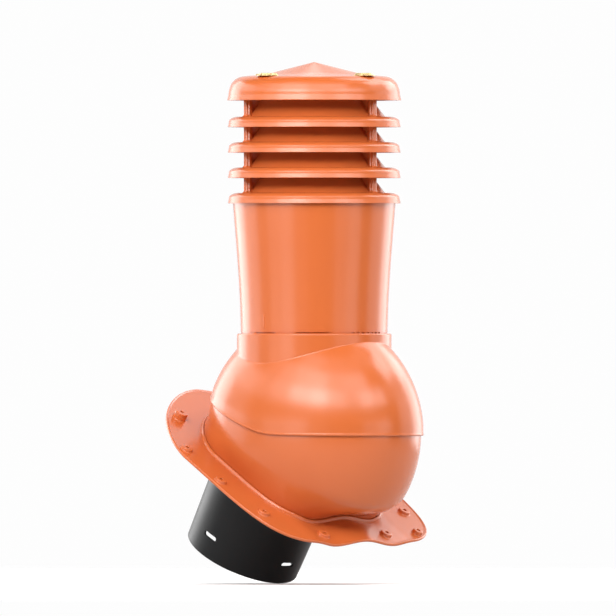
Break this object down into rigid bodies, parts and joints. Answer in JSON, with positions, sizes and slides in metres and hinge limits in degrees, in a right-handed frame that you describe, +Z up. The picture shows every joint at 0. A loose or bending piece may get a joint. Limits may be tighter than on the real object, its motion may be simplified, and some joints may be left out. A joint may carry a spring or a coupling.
{
  "type": "roof vent pipe",
  "caption": "Plastic vent terminal for a pitched roof: waved flange, barrel dome with a tilting hood, upright waisted pipe, louvre rings under a low conical cap, and a slotted duct spigot below.",
  "frame": {"origin": "on the underside of the roof flange, on the plane of symmetry, up the slope from the pipe", "axes": "+Z up along the upright pipe, +X down the roof slope, +Y across it; the seat is pitched 33 degrees"},
  "size_m": [0.363, 0.3176, 0.6682],
  "materials": {
    "terracotta_plastic": "semi-gloss moulded terracotta plastic",
    "black_plastic": "satin black moulded plastic",
    "yellow_zinc": "yellow zinc-plated steel"
  },
  "bodies": {
    "base": {"roof_base": "terracotta_plastic", "spigot": "black_plastic"},
    "upper": {"hood": "terracotta_plastic", "outer_pipe": "terracotta_plastic", "louvre_ring_1": "terracotta_plastic", "louvre_ring_2": "terracotta_plastic", "louvre_ring_3": "terracotta_plastic", "louvre_ring_4": "terracotta_plastic", "rain_cap": "terracotta_plastic", "cap_screw_1": "yellow_zinc", "cap_screw_2": "yellow_zinc", "cap_screw_3": "yellow_zinc", "cap_screw_4": "yellow_zinc"}
  },
  "joints": [
    {"name": "pitch_tilt", "type": "hinge", "parent": "base", "child": "upper", "pos_m": [0.15935, 0, -0.0212], "axis": [0, 1, 0], "range_deg": [-5, 15]}
  ]
}
